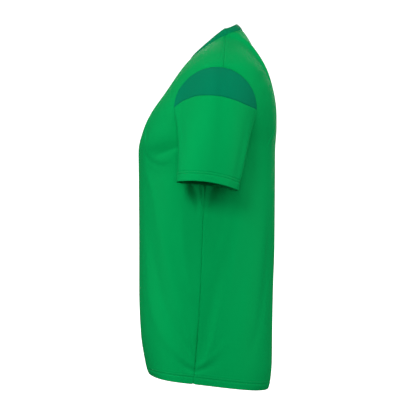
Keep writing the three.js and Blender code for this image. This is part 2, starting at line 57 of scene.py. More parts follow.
# Rows of the cloth turned in at a seam: how far below it, and how far beyond it. One piece's goes under the
# other's, so that no light comes through.
OVER = np.array([(0.4, 0), (0.8, 0), (1.2, 0), (1.4, 0)])
UNDER = np.array([(0.5, 0), (1.7, 0.1), (2.6, 1.2), (2.9, 4.5)])
ALLOWANCE_RISE, ALLOWANCE_PLACE, ALLOWANCE_WIDTH = 0.45, 4.2, 2.6  # a pressed seam allowance under the cloth
SEAM_STILL = 12  # how closely to the armhole the folds go before they die away
V_SEAM_DIP = 0.5  # at the mitre of the V
BODY_EASE, SLEEVE_EASE = 14, 6  # rounds of smoothing
CHEST_EASE = 45  # rounds that take the bend below the end of the shoulder seam out of the cloth
EASE_FROM, EASE_FULL = 2, 30  # how far below the top edge that starts and is whole
EASE_ROWS = 12  # rows above the underarm over which it comes in
HEM_STEP, HEM_STEP_WIDTH = 0.35, 2.5  # a hem stands up from the single cloth above it
HEM_CURL, HEM_CURL_HEIGHT = 2.5, 9  # how far the hem's edge draws in
NOTCH, NOTCH_WIDTH = 1.2, 2.5  # how far the side seam draws the hem's edge up
STITCH_ROWS = (0, 4.8)  # below the hem's top, down from its raw edge
PULL_WIDTH = 1.05
BODY_PULL, SLEEVE_PULL = (0.5, 0.9), (1.25, 1.05)  # how deep the thread of each row pulls the cloth in
STITCH, STITCH_GAP, THREAD = 2.5, 0.7, 0.24  # length, gap and half thickness of a stitch
STITCH_ENDS, STITCH_LIFT = (0.08, 0.86), 0.1  # shares of a stitch's step where its thread comes up and goes in
NECK_STITCH = 3  # the back neck's topstitching, below its seam

# Level sections of the body: height, the y of its centre front and centre back, its half width, the y of
# its widest line, and how square it is (2 is an ellipse).
SECTIONS = (
    (24, -3, 26, 62, 2, 2.0),
    (0, -18, 45, 85, 0, 2.0),
    (-22, -45.5, 55.8, 134, -1, 2.0),
    (-44, -72.4, 70, 178, -3, 2.05),
    (-74, -95.5, 86, 213, -6, 2.2),
    (-109, -119, 97.4, 219, -14, 2.35),
    (-148, -147, 103, 215, -23, 2.4),
    (-180, -162.5, 103.4, 206, -30, 2.4),
    (-222, -172.6, 100.4, 193.5, -38, 2.4),
    (-290, -171.8, 99.6, 183.5, -41, 2.45),
    (-415, -171.2, 98.5, 184, -45.3, 2.5),
    (-500, -171, 95.6, 187, -49, 2.55),
    (-583, -167.6, 94, 190, -54, 2.6),
    (-640, -158.8, 93.4, 191, -59, 2.6),
    (-700, -146, 88, 188, -65, 2.6),
)
HEM_HEIGHT, HEM_SLOPE, HEM_BEND = -675.1, -0.148, -0.00028  # of the body's hem, over y

# The armhole seam, an oval as seen from the side, whose bottom leans forward to the side seam.
ARMHOLE_Y, ARMHOLE_Z, ARMHOLE_DEPTH, ARMHOLE_HEIGHT, ARMHOLE_LEAN = -20, -148, 78.5, 76, 16

# The sleeve's hem ring: its middle, half sizes, drop to the back, tilt to the outside, and saddle.
CUFF = np.array([241.5, -35.4, -292.8])
CUFF_WIDTH, CUFF_DEPTH, CUFF_DROP, CUFF_TILT, CUFF_SADDLE = 50.5, 57, 7.7, 2.4, 2.6
# Which way the sleeve leaves the armhole: angle round it, then outwards, forwards and up.
SLEEVE_LEAVES = ((0, 0.86, 0, -0.55), (90, 0.68, -0.24, -0.74), (180, 0.62, 0, -0.3))

# Which way it arrives at its hem, beside one step down: outwards and forwards, and how much that changes round it.
ARRIVE_OUT, ARRIVE_FLARE, ARRIVE_FORWARD, ARRIVE_NARROW = 0.04, 0.05, 0.16, 0.1

# The seam between shoulder cap and sleeve: y and z across the sleeve.
CAP_SEAM = ((-100, -147), (-78, -133.5), (-50, -127.5), (-14, -130), (16, -137), (38, -144.5), (60, -151))
CAP_POINT = 0.8  # the cap's depth at its two ends
CAP_REACH = 98  # degrees of the armhole to each side of its top
CAP_LONGEST = 0.6  # more than its share of the sleeve's length anywhere

# The neckline, a V at the front and a round rise at the back, and the neckband's edge from it.
NECK_WIDTH, V_DEPTH, V_FORWARD, V_ROUND, V_DIP = 85, 44, 73, 1.1, 1.4
BACK_RISE, BACK_DEPTH, BACK_FLAT = 16.5, 36, 0.8
# Where that edge lies at the shoulder, centre front and centre back, and how late it comes to the last two.
BAND_SHOULDER, BAND_FRONT, BAND_BACK = (76, -1, 14.8), (-59.5, -25.5, 1.15), (25, 30.5, 1.7)
BAND_LEAN = 4  # how much nearer the neck's middle it lies halfway
BAND_CROWN = 1.2  # how far the band bows outwards
BAND_TURN = 0.95  # radius of its fold

# Folds of the body. Each is the share of it that the right side has, how much lower it lies there, and a
# line of stations: angle round the body (0 is the centre front and 90 the side seam), height, half width
# and rise, which is negative in a trough.
BODY_FOLDS = (
    # Under the breast: its crease, the smile below, and the swell above.
    (0.9, 12, (74, -216, 7, -0.4), (67, -221, 10, -1.3), (61, -225, 12, -2.5), (54, -229.5, 13, -3.1),
     (46, -232, 12, -2.4), (38, -232, 10, -0.8), (30, -230, 9, 0)),
    (1.1, 9, (76, -217, 4, -0.8), (66, -225, 4, -1.3), (56, -232, 4.5, -1.2), (47, -236, 4, -0.5),
     (40, -235, 4, 0)),
    (0.7, -8, (28, -226, 6, 0), (33, -237, 6, -1.0), (40, -246, 6, -1.5), (48, -252.5, 6, -1.7),
     (55, -256, 6, -1.5), (62, -255, 6, -0.9), (69, -249, 6, 0)),
    (0.9, -11, (30, -246, 14, 0), (40, -258, 16, -1.6), (51, -268, 17, -2.0), (62, -268, 16, -1.4),
     (72, -260, 13, 0)),
    (1.2, 10, (76, -176, 22, 0), (64, -192, 24, 2.4), (50, -200, 24, 3.0), (36, -204, 19, 1.6),
     (24, -206, 15, 0)),
    # From the foot of the side seam up the front.
    (0.8, -14, (89, -632, 4, 0.5), (88, -610, 6, 2.2), (85, -575, 10, 3.4), (79, -530, 14, 3.4),
     (71, -475, 17, 2.8), (61, -415, 18, 2.2), (51, -350, 15, 2.0), (45, -310, 11, 1.6),
     (38, -278, 8, 1.1), (31, -248, 6, 0)),
    (1.2, 6, (89, -626, 4, -0.7), (84, -600, 7, -1.9), (74, -568, 11, -2.6), (62, -520, 14, -2.6),
     (52, -465, 15, -2.2), (43, -400, 16, -1.2), (36, -340, 14, 0)),
    (0.6, 8, (88, -634, 4, 0.5), (78, -612, 8, 1.3), (64, -585, 13, 1.4), (52, -555, 15, 1.3),
     (42, -515, 15, 0.9), (34, -470, 12, 0)),
    (1.1, -5, (89, -642, 4, -1.7), (85, -636, 5, -1.9), (80, -629, 6, -0.8), (72, -621, 7, 0)),
    (1.3, 20, (88, -520, 5, 0), (85, -490, 8, 1.3), (80, -430, 10, 1.6), (77, -380, 10, 1.1),
     (75, -330, 9, 0)),
    # From there up the back.
    (1.1, 10, (91, -634, 4, -0.8), (91.5, -610, 7, -3.2), (93, -560, 11, -4.2), (96, -500, 14, -4.0),
     (99, -440, 16, -3.0), (103, -370, 16, -1.6), (107, -305, 14, 0)),
    (0.8, -18, (93, -628, 5, 0.5), (97, -590, 9, 2.4), (101, -530, 13, 3.2), (106, -460, 16, 3.0),
     (111, -380, 17, 2.0), (115, -310, 15, 0)),
    (0.7, 25, (93, -490, 8, 0), (95, -450, 10, 1.6), (98, -395, 12, 2.3), (102, -340, 13, 1.8),
     (105, -290, 12, 0)),
    (0.9, 5, (91.5, -643, 4, -1.7), (95, -637, 5, -1.9), (99, -628, 7, -1.1), (105, -614, 9, 0)),
    (1.2, -6, (91, -635, 3, 0.6), (96, -621, 5, 1.4), (102, -601, 7, 1.0), (108, -580, 8, 0)),
    # The side seam's own groove, deepest at its foot.
    (1.0, 0, (90, -650, 3, -0.4), (90, -628, 3.2, -1.6), (90, -590, 3.6, -1.8), (90, -540, 3.4, -0.9),
     (90, -480, 3, 0)),
    # Gathered under the arm, below the cuff.
    (0.8, 4, (88.5, -284, 5, 0), (88.5, -300, 5, 3.0), (89, -320, 4.5, 2.8), (89, -340, 4, 1.4),
     (89.5, -365, 4, 0)),
    (1.1, -5, (79, -282, 7, 0), (83, -299, 6, -5.0), (85, -316, 5, -4.0), (87, -334, 4, -1.5),
     (88, -350, 4, 0)),
    (0.9, 6, (98, -282, 9, 0), (95, -299, 8, -5.0), (93.5, -318, 6, -4.0), (91.8, -338, 4, -1.5),
     (90.6, -352, 4, 0)),
    # Round the armhole.
    (1.2, -4, (35, -122, 8, 0), (34, -104, 8, 1.2), (36, -84, 8, 1.5), (47, -73, 8, 1.0),
     (55, -62, 7, 0)),
    (0.8, 3, (93, -73, 7, 0), (106, -85, 7, 1.1), (116, -99, 7, 1.0), (123, -119, 7, 0)),
    (0.7, -6, (121, -110, 9, 0), (133, -95, 10, -1.2), (150, -84, 10, -0.8), (162, -80, 9, 0)),
    # Faint ones on the back, and down the front.
    (1.3, -30, (104, -660, 12, 0), (112, -560, 18, -1.0), (119, -470, 20, -1.4), (125, -380, 20, 0)),
    (1.4, 14, (118, -180, 20, 0), (123, -250, 24, -1.6), (129, -340, 24, 0)),
    (0.7, -20, (141, -290, 20, 0), (138, -400, 26, 1.8), (131, -570, 22, 0)),
    (0.6, 30, (152, -350, 16, 0), (148, -450, 17, -1.7), (138, -560, 15, -1.4), (121, -640, 11, 0)),
    (1.5, -25, (172, -120, 22, 0), (166, -220, 26, -1.5), (160, -320, 22, 0)),
    (1.2, 18, (10, -330, 16, 0), (16, -450, 18, -1.3), (26, -570, 15, 0)),
    (0.6, -10, (30, -380, 14, 0), (40, -480, 16, 1.2), (58, -590, 12, 0)),
)
BODY_STEP = 2.9  # millimetres round the body in a degree
FOLD_STEPS = 4  # straight steps from one station of a fold to the next
# Folds of a sleeve, in the same way: angle round it and share of its length.
SLEEVE_FOLDS = (
    ((-68, 0.3, 9, 0), (-62, 0.7, 9, -1.5), (-57, 1.1, 8, -0.4)),
    ((-84, 0.3, 10, 0), (-80, 0.7, 10, 1.3), (-78, 1.1, 9, 0.2)),
    ((76, 0.2, 11, 0), (68, 0.5, 11, -1.5), (60, 0.85, 10, 0)),
    ((24, 0.35, 16, 0), (14, 0.6, 18, -0.9), (8, 0.9, 14, 0)),
    ((130, 0.1, 12, 0), (120, 0.45, 12, -2.4), (110, 0.8, 11, 0)),
    ((-142, 0.1, 12, 0), (-130, 0.45, 12, -2.4), (-118, 0.8, 11, 0)),
)
SLEEVE_STEP, SLEEVE_LENGTH, SLEEVE_STILL = 0.95, 225, 0.25
RIGHT_SLEEVE = 0.85  # how deep its folds are beside the left's


def lerp(a, b, share):
    return a + (b - a) * share


def smoothstep(at, low, high):
    share = np.clip((at - low) / (high - low), 0, 1)
    return share * share * (3 - 2 * share)


def sine(degrees):
    return np.sin(np.radians(degrees))


def cosine(degrees):
    return np.cos(np.radians(degrees))


def points(x, y, z):
    return np.stack(np.broadcast_arrays(x, y, z), axis=-1).astype(float)


def unit(vectors):
    return vectors / np.maximum(np.linalg.norm(vectors, axis=-1, keepdims=True), 1e-12)


def wrapped(angle):
    return (angle + 180) % 360 - 180


def solve(rise, low, high):
    """Where rise, which grows, passes zero."""
    low, high = np.array(low, float), np.array(high, float)
    for _ in range(40):
        middle = (low + high) / 2
        above = rise(middle) > 0
        high = np.where(above, middle, high)
        low = np.where(above, low, middle)
    return (low + high) / 2


class Curve:
    """A smooth curve through points that doesn't overshoot them."""

    def __init__(self, places, values):
        order = np.argsort(places)
        self.x, self.y = np.array(places, float)[order], np.array(values, float)[order]
        slope = np.diff(self.y) / np.diff(self.x)
        before, after = slope[:-1], slope[1:]
        total = np.where(before * after > 0, before + after, 1)
        inner = np.where(before * after > 0, 2 * before * after / total, 0)
        self.tangent = np.concatenate([slope[:1], inner, slope[-1:]])

    def __call__(self, at):
        x = np.clip(at, self.x[0], self.x[-1])
        i = np.clip(np.searchsorted(self.x, x) - 1, 0, len(self.x) - 2)
        span = self.x[i + 1] - self.x[i]
        s = (x - self.x[i]) / span
        return (
            (2 * s**3 - 3 * s**2 + 1) * self.y[i]
            + (s**3 - 2 * s**2 + s) * span * self.tangent[i]
            + (3 * s**2 - 2 * s**3) * self.y[i + 1]
            + (s**3 - s**2) * span * self.tangent[i + 1]
        )


heights = [row[0] for row in SECTIONS]
front_y, back_y, side_x, ridge_y, squareness = (
    Curve(heights, [row[k] for row in SECTIONS]) for k in range(1, 6)
)
leave_angles = [row[0] for row in SLEEVE_LEAVES]
leave_x, leave_forward, leave_z = (
    Curve(leave_angles, [row[k] for row in SLEEVE_LEAVES]) for k in range(1, 4)
)
cap_seam_z = Curve([y for y, _ in CAP_SEAM], [z for _, z in CAP_SEAM])


def half_depth(facing, z):
    return ridge_y(z) - front_y(z) if facing < 0 else back_y(z) - ridge_y(z)


def body_at_x(facing, x, z):
    share = np.minimum(np.abs(x) / side_x(z), 1)
    square = squareness(z)
    return points(x, ridge_y(z) + facing * half_depth(facing, z) * (1 - share**square) ** (1 / square), z)


def armhole_point(angle):
    """The armhole seam: 0 is its top, 90 its front and 180 its bottom."""
    y = ARMHOLE_Y - ARMHOLE_DEPTH * sine(angle) - ARMHOLE_LEAN * np.minimum(cosine(angle), 0) ** 2
    z = ARMHOLE_Z + ARMHOLE_HEIGHT * cosine(angle)
    ridge, square = ridge_y(z), squareness(z)
    depth = np.where(y < ridge, ridge - front_y(z), back_y(z) - ridge)
    share = np.minimum(np.abs(y - ridge) / depth, 1)
    return points(side_x(z) * (1 - share**square) ** (1 / square), y, z)


def behind_ridge(angle):
    p = armhole_point(angle)
    return p[..., 1] - ridge_y(p[..., 2])


TIP_ANGLE = float(solve(lambda angle: -behind_ridge(angle), -60, 30))
UNDERARM_ANGLE = float(solve(behind_ridge, 110, 200))
TIP, UNDERARM = armhole_point(TIP_ANGLE), armhole_point(UNDERARM_ANGLE)
NECK_SHARE = NECK_WIDTH / TIP[0]
ROW_ARC, SHOULDER_TOP, SEAM_BEND, TOP_BEND, EVEN_UP_TO, NECK_EASE = 165, 1, 3, 2, 0.4, 0.55


def armhole_angle(facing, v):
    return lerp(UNDERARM_ANGLE if facing < 0 else UNDERARM_ANGLE - 360, TIP_ANGLE, v)


def neckline_spread(facing, x):
    across = np.minimum(np.abs(x) / NECK_WIDTH, 1)
    return (1 - across) ** (1 / V_ROUND) if facing < 0 else np.sqrt(1 - across**2)


def neckline_point(facing, x):
    spread = neckline_spread(facing, x)
    if facing < 0:
        return points(x, -V_FORWARD * spread, -V_DEPTH * spread**V_DIP)
    return points(x, BACK_DEPTH * spread, BACK_RISE * spread**BACK_FLAT)


def band_edge_point(facing, x):
    across, spread = x / NECK_WIDTH, neckline_spread(facing, x)
    y, z, bend = BAND_FRONT if facing < 0 else BAND_BACK
    return points(
        BAND_SHOULDER[0] * across - BAND_LEAN * np.sin(np.pi * across),
        lerp(BAND_SHOULDER[1], y, spread),
        lerp(BAND_SHOULDER[2], z, spread**bend),
    )


def lower_points(facing, u, v):
    """A panel up to the underarm: u runs from -1 at its right edge to 1, and v from 0 at the hem to 1."""
    side = np.abs(sine(90 * u))
    x = side_x(HEM_HEIGHT) * side ** (2 / squareness(HEM_HEIGHT))
    y = body_at_x(facing, x, HEM_HEIGHT)[..., 1]
    z = lerp(HEM_HEIGHT + HEM_SLOPE * y + HEM_BEND * y * y, UNDERARM[2], v)
    power = 2 / squareness(z)
    depth = half_depth(facing, z) * np.clip(cosine(90 * u), 0, 1) ** power
    return points(side_x(z) * np.sign(u) * side**power, ridge_y(z) + facing * depth, z)


def chest_points(facing, u, v):
    """A panel above the underarm: v is the share of the way along the armhole."""
    share = np.abs(u)
    seam = armhole_point(armhole_angle(facing, v))
    top_x = share * TIP[0]
    on_neck = share < NECK_SHARE
    lowest, highest = (np.full(share.shape, z) for z in (TIP[2], SHOULDER_TOP))
    shoulder_z = solve(lambda z: top_x - side_x(z), lowest, highest)
    neck = neckline_point(facing, top_x)
    top_z = np.where(on_neck, neck[..., 2], shoulder_z)
    arc = (1 - cosine(ROW_ARC * v)) / (1 - cosine(ROW_ARC))
    rise = lerp(v, arc, share**SEAM_BEND)
    to_top = (top_z - TIP[2]) * rise**TOP_BEND
    level = lerp(UNDERARM[2], TIP[2], rise)
    z = level + to_top + (seam[..., 2] - lerp(UNDERARM[2], TIP[2], arc)) * share**SEAM_BEND
    even = np.abs(sine(90 * u)) ** (2 / squareness(UNDERARM[2]))
    x = seam[..., 0] * lerp(even, share, smoothstep(v, 0, EVEN_UP_TO))
    p = body_at_x(facing, x, z)
    miss = points(top_x, neck[..., 1], top_z) - body_at_x(facing, top_x, top_z)
    p += np.where(on_neck, smoothstep(v, NECK_EASE, 1), 0)[..., None] * miss
    p = np.where((share == 1)[..., None], seam, p)
    p[..., 0] *= np.where(u < 0, -1, 1)
    return p


def turn_of(facing, p):
    """The angle round the body of a panel's points."""
    share = np.minimum(np.abs(p[..., 0]) / side_x(p[..., 2]), 1) ** (squareness(p[..., 2]) / 2)
    turn = np.degrees(np.arcsin(share))
    return np.where(p[..., 0] < 0, -1, 1) * (turn if facing < 0 else 180 - turn)


def sleeve_points(angle, t):
    """A sleeve before its folds: t is 0 at the armhole and 1 at the hem."""
    start = armhole_point(angle)
    end = CUFF + points(
        CUFF_WIDTH * cosine(angle),
        -CUFF_DEPTH * sine(angle),
        CUFF_DROP * sine(angle) + CUFF_TILT * cosine(angle) + CUFF_SADDLE * cosine(2 * angle),
    )
    length = np.linalg.norm(end - start, axis=-1, keepdims=True)
    turn = np.abs(wrapped(angle))
    leave = length * points(leave_x(turn), -np.sign(wrapped(angle)) * leave_forward(turn), leave_z(turn))
    arrive = length * points(
        ARRIVE_OUT + ARRIVE_FLARE * cosine(angle), -ARRIVE_FORWARD + ARRIVE_NARROW * sine(angle), -1
    )
    t = np.asarray(t, float)[..., None]
    return (
        start * (2 * t**3 - 3 * t**2 + 1)
        + leave * (t**3 - 2 * t**2 + t)
        + end * (3 * t**2 - 2 * t**3)
        + arrive * (t**3 - t**2)
    )


def cap_share(angle):
    """Where the seam between cap and sleeve crosses the sleeve, as a share of its length."""

    def below(t):
        p = sleeve_points(angle, t)
        return cap_seam_z(p[..., 1]) - p[..., 2]

    found = solve(below, np.zeros(angle.shape), np.full(angle.shape, CAP_LONGEST))
    whole = np.linalg.norm(armhole_point(angle) - sleeve_points(angle, np.ones(angle.shape)), axis=-1)
    return np.maximum(found, CAP_POINT / whole)


def fold_lift(across, along, folds, scale):
    """How far folds lift the cloth. Each is a line of stations: across, along, half width and rise."""
    lift = 0
    for stations in folds:
        steps = np.linspace(0, len(stations) - 1, FOLD_STEPS * (len(stations) - 1) + 1)
        line = np.stack([Curve(range(len(stations)), column)(steps) for column in zip(*stations)], axis=1)
        line[:, :2] *= scale
        nearest, rise = np.full(across.shape, np.inf), 0
        for start, end in zip(line, line[1:]):
            run = (end - start)[:2]
            share = np.clip(((across - start[0]) * run[0] + (along - start[1]) * run[1]) / (run @ run), 0, 1)
            away = np.hypot(across - start[0] - share * run[0], along - start[1] - share * run[1])
            here = lerp(start[3], end[3], share) * np.exp(-((away / lerp(start[2], end[2], share)) ** 2))
            rise = np.where(away < nearest, here, rise)
            nearest = np.minimum(away, nearest)
        lift = lift + rise
    return lift


def body_lift(turn, z):
    left, right = [], []
    for share, lower, *stations in BODY_FOLDS:
        left.append(stations)
        right.append([(a, b - lower, width, rise * share) for a, b, width, rise in stations])
    sides = [fold_lift(np.abs(turn) * BODY_STEP, z, folds, (BODY_STEP, 1)) for folds in (left, right)]
    return np.where(turn > 0, *sides)


def lengths(grid, axis):
    """How far along its column (axis 0) or row (axis 1) each point of a grid lies."""
    steps = np.linalg.norm(np.diff(grid, axis=axis), axis=2)
    start = np.zeros_like(np.take(steps, [0], axis=axis))
    return np.concatenate([start, np.cumsum(steps, axis=axis)], axis=axis)


def normals_of(grid, tube, sign):
    """The outward normals of a grid of cloth."""
    if tube:
        across = np.roll(grid, -1, axis=1) - np.roll(grid, 1, axis=1)
    else:
        across = np.gradient(grid, axis=1)
    return unit(np.cross(across, np.gradient(grid, axis=0))) * sign


def relaxed(grid, tube, rounds):
    """Eases the bends of a grid and leaves its edges where they are."""
    grid = grid.copy()
    for _ in range(rounds):
        if tube:
            mean = (np.roll(grid, 1, axis=1) + np.roll(grid, -1, axis=1))[1:-1]
            grid[1:-1] += 0.5 * ((mean + grid[:-2] + grid[2:]) / 4 - grid[1:-1])
        else:
            mean = grid[1:-1, :-2] + grid[1:-1, 2:] + grid[:-2, 1:-1] + grid[2:, 1:-1]
            grid[1:-1, 1:-1] += 0.5 * (mean / 4 - grid[1:-1, 1:-1])
    return grid


def seam_dip(away):
    return -SEAM_DIP * np.exp(-((away / SEAM_WIDTH) ** 2))


def pressed_allowance(away):
    return ALLOWANCE_RISE * np.exp(-(((away - ALLOWANCE_PLACE) / ALLOWANCE_WIDTH) ** 2))


def with_hem(grid, normals, turned_rows, radius):
    """Adds a hem below a grid's first row: round its folded edge and up the inside."""
    down = unit(grid[0] - grid[1])
    turn = []
    for degrees in range(180, 0, -30):
        turn.append(grid[0] + down * radius * sine(degrees) - normals[0] * radius * (1 - cosine(degrees)))
    inside = (grid - normals * 2 * radius)[turned_rows:0:-1]
    return np.concatenate([inside, np.array(turn), grid])


def into_scene(name, shape, finish):
    """A smooth-shaded object from a finished bmesh."""
    mesh = bpy.data.meshes.new(name)
    shape.to_mesh(mesh)
    shape.free()
    mesh.polygons.foreach_set("use_smooth", [True] * len(mesh.polygons))
    mesh.materials.append(finish)
    piece = bpy.data.objects.new(name, mesh)
    bpy.context.scene.collection.objects.link(piece)
    return piece


def cloth(name, grid, tube, finish, inward):
    """A piece of cloth from a grid of points of its outside. Its faces look away from the point inward."""
    if tube:
        grid = np.concatenate([grid, grid[:, :1]], axis=1)
    rows, columns = grid.shape[:2]
    across, along = lengths(grid, 1) * MM, lengths(grid, 0) * MM
    shape = bmesh.new()
    bmesh.ops.create_grid(shape, x_segments=columns - 1, y_segments=rows - 1, size=1)
    places = {}
    for vertex in shape.verts:
        j = round((vertex.co.x + 1) / 2 * (columns - 1))
        i = round((vertex.co.y + 1) / 2 * (rows - 1))
        places[vertex] = (i, j)
    uv = shape.loops.layers.uv.new("cut")
    for face in shape.faces:
        for corner in face.loops:
            i, j = places[corner.vert]
            corner[uv].uv = (across[i, j], along[i, j])
    for vertex, (i, j) in places.items():
        vertex.co = grid[i, j] * MM
    if tube:
        bmesh.ops.remove_doubles(shape, verts=shape.verts, dist=1e-7)
    shape.normal_update()
    away = [(face.calc_center_median() - Vector(inward) * MM).dot(face.normal) for face in shape.faces]
    if sum(out * face.calc_area() for out, face in zip(away, shape.faces)) < 0:
        bmesh.ops.reverse_faces(shape, faces=shape.faces)
    piece = into_scene(name, shape, finish)
    wall = piece.modifiers.new("wall", "SOLIDIFY")
    wall.thickness = CLOTH * MM
    wall.offset = -1
    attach(piece, "root")
    return piece


class Wire:
    """An output of a material's node, on which shader maths is written as plain sums."""

    def __init__(self, finish, socket):
        self.finish, self.socket = finish, socket

    def math(self, operation, *values):
        return self.finish.node("ShaderNodeMath", {"operation": operation}, dict(enumerate(values)))

    def __add__(self, other):
        return self.math("ADD", self, other)

    def __mul__(self, other):
        return self.math("MULTIPLY", self, other)

    def __sub__(self, other):
        return self.math("SUBTRACT", self, other)

    def __rsub__(self, other):
        return self.math("SUBTRACT", other, self)

    def __truediv__(self, other):
        return self.math("DIVIDE", self, other)

    __radd__, __rmul__ = __add__, __mul__

    def wave(self):
        """The sine of this many whole turns."""
        return self.math("SINE", self * (2 * math.pi))

    def sawtooth(self):
        return self.math("FRACT", self)

    def size(self):
        return self.math("ABSOLUTE", self)


class Finish:
    """A material, or the studio's world. Constants are set on its shader's own sockets, and other nodes come
    from one method."""

    def __init__(self, owner, shader, **constants):
        owner.use_nodes = True
        self.owner, self.tree = owner, owner.node_tree
        self.shader = self.tree.nodes[shader]
        for socket, value in constants.items():
            self.shader.inputs[socket.replace("_", " ")].default_value = value

    def put(self, value, socket):
        if isinstance(value, Wire):
            self.tree.links.new(value.socket, socket)
        else:
            socket.default_value = value

    def node(self, kind, settings=None, inputs=None, output=0):
        node = self.tree.nodes.new(kind)
        for key, value in (settings or {}).items():
            setattr(node, key, value)
        for key, value in (inputs or {}).items():
            self.put(value, node.inputs[key])
        return Wire(self, node.outputs[output])

    def noise(self, place, scale, detail=2):
        return self.node("ShaderNodeTexNoise", {}, {"Vector": place, "Scale": scale, "Detail": detail})

    def mix(self, share, a, b):
        return self.node("ShaderNodeMix", {"data_type": "RGBA"}, {0: share, 6: a, 7: b}, 2)


def surface(name, **constants):
    return Finish(bpy.data.materials.new(name), "Principled BSDF", **constants)


CLOUDS, GRAIN, TWIST = 9, 1400, 2600  # how fine the noise in the cloth and its thread is


def knit(name, colour, shade, wale, course, relief, rib=0, roughness=0.6, **constants):
    """Knitted cloth. Its loops are wale wide and course high, in millimetres, on the piece's own cut."""
    finish = surface(name, **constants)
    place = finish.node("ShaderNodeTexCoord", output="UV")
    solid = finish.node("ShaderNodeTexCoord", output="Object")
    split = finish.node("ShaderNodeSeparateXYZ", {}, {0: place})
    up = Wire(finish, split.socket.node.outputs[1])
    columns = split / (wale * MM)
    legs = (columns.sawtooth() - 0.5).size() * 2
    loops = (up / (course * MM) + legs * 0.55).wave() * (columns * 0.5).wave().size()
    cloudy = finish.noise(solid, CLOUDS, 3)
    grain = finish.noise(solid, GRAIN, 1)
    tone = (cloudy - 0.5) * 0.5 + (grain - 0.5) * 0.35 + loops * 0.06 + 0.5
    finish.put(finish.mix(tone, (*shade, 1), (*colour, 1)), finish.shader.inputs["Base Color"])
    finish.put(roughness + (grain - 0.5) * 0.12 + (cloudy - 0.5) * 0.1, finish.shader.inputs["Roughness"])
    height = loops * 0.5
    if rib:
        height = height + (split / (rib * MM)).wave() * 1.4
    bump = finish.node("ShaderNodeBump", {}, {"Height": height, "Strength": 0.55, "Distance": relief * MM})
    finish.put(bump, finish.shader.inputs["Normal"])
    return finish.owner


def thread(name, colour):
    finish = surface(name, Roughness=0.45, Specular_IOR_Level=0.3)
    solid = finish.node("ShaderNodeTexCoord", output="Object")
    twist = finish.noise(solid, TWIST, 1)
    dark, light = ((*[c * share for c in colour], 1) for share in (0.8, 1.2))
    finish.put(finish.mix(twist, dark, light), finish.shader.inputs["Base Color"])
    return finish.owner


GREEN, GREEN_SHADE = (0.0006, 0.335, 0.082), (0.0004, 0.275, 0.066)
DEEP, DEEP_SHADE = (0.0008, 0.197, 0.090), (0.0006, 0.165, 0.076)
COLLAR, COLLAR_SHADE = (0.001, 0.25, 0.096), (0.0008, 0.20, 0.08)
SOFT_SHINE = {"Specular_IOR_Level": 0.012, "Specular_Tint": (0.25, 1, 0.55, 1)}
BODY_KNIT = knit("body_knit", GREEN, GREEN_SHADE, 1.05, 0.85, 0.16, roughness=0.5, **SOFT_SHINE)
CONTRAST_KNIT = knit("contrast_knit", DEEP, DEEP_SHADE, 1.05, 0.85, 0.16, roughness=0.55, **SOFT_SHINE)
NECK_RIB = knit("neck_rib", COLLAR, COLLAR_SHADE, 0.9, 0.9, 0.3, rib=1.8, roughness=0.55, **SOFT_SHINE)
BODY_THREAD = thread("body_thread", (0.0005, 0.28, 0.066))

# The columns of both panels, as shares of the way from the centre line to the side.
neck_columns = NECK_SHARE * sine(np.linspace(0, 90, 42))
shoulder_columns = 1 - (1 - NECK_SHARE) * np.linspace(1, 0, 64) ** 1.4
half_columns = np.concatenate([neck_columns, shoulder_columns[1:]])
PANEL_COLUMNS = np.concatenate([-half_columns[:0:-1], half_columns])
# Their rows: the hem, the body up to the underarm, and the chest.
body_height = float(UNDERARM[2] - HEM_HEIGHT)
hem_rows = np.arange(HEM_ROWS) * HEM_ROW / body_height
LOWER_ROWS = np.concatenate([hem_rows, np.linspace(hem_rows[-1], 1, 106)[1:]])
CHEST_ROWS = 1 - np.linspace(1, 0, 60)[1:] ** 1.25


def plain_panel(facing):
    """A panel without folds, and its normals."""
    u, lower = np.meshgrid(PANEL_COLUMNS, LOWER_ROWS)
    low = lower_points(facing, u, lower)
    u, chest = np.meshgrid(PANEL_COLUMNS, CHEST_ROWS)
    grid = relaxed(np.concatenate([low, chest_points(facing, u, chest)]), False, BODY_EASE)
    along = lengths(grid, 0)
    loose = smoothstep(along[-1:] - along, EASE_FROM, EASE_FULL) * (1 - PANEL_COLUMNS**4)
    loose *= smoothstep(np.arange(len(grid)), FIRST_CHEST, FIRST_CHEST + EASE_ROWS)[:, None]
    for _ in range(CHEST_EASE):
        bend = grid[:, :-2, 1] + grid[:, 2:, 1] - 2 * grid[:, 1:-1, 1]
        grid[:, 1:-1, 1] += 0.25 * bend * loose[:, 1:-1]
    return grid, normals_of(grid, False, 1 if facing < 0 else -1)


def plain_band():
    """The outside of the neckband from its seam up, round the front from right to left, then round the nape."""
    v = np.linspace(0, 1, 15)[:, None, None]
    halves = [lerp(neckline_point(facing, x), band_edge_point(facing, x), v)
              for facing, x in ((-1, NECK_X), (1, NECK_X[-2:0:-1]))]
    grid = np.concatenate(halves, axis=1)
    return grid, normals_of(grid, True, 1)


